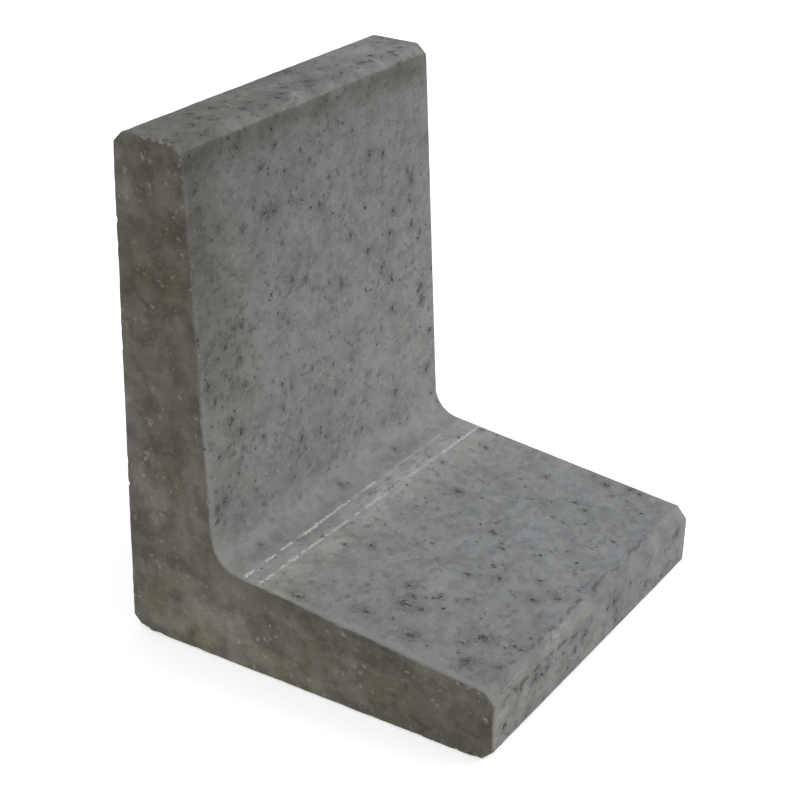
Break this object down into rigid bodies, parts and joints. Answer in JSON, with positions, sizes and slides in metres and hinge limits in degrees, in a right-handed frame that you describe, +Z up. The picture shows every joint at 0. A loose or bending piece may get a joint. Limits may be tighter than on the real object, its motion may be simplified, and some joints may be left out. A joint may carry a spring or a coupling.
{
  "type": "l-shaped retaining wall element",
  "caption": "L-shaped concrete retaining wall element: a tapered upright stem on a tapered foot, with a filleted inner corner and chamfered edges.",
  "frame": {"origin": "on the bedding, under the middle of the element's bounding box", "axes": "+Z up, +Y out of the flat exposed back of the stem, -Y towards the toe of the foot, X along the wall"},
  "size_m": [0.4, 0.4, 0.5],
  "materials": {
    "concrete": "matte"
  },
  "bodies": {
    "root": {"wall_element": "concrete"}
  },
  "joints": []
}
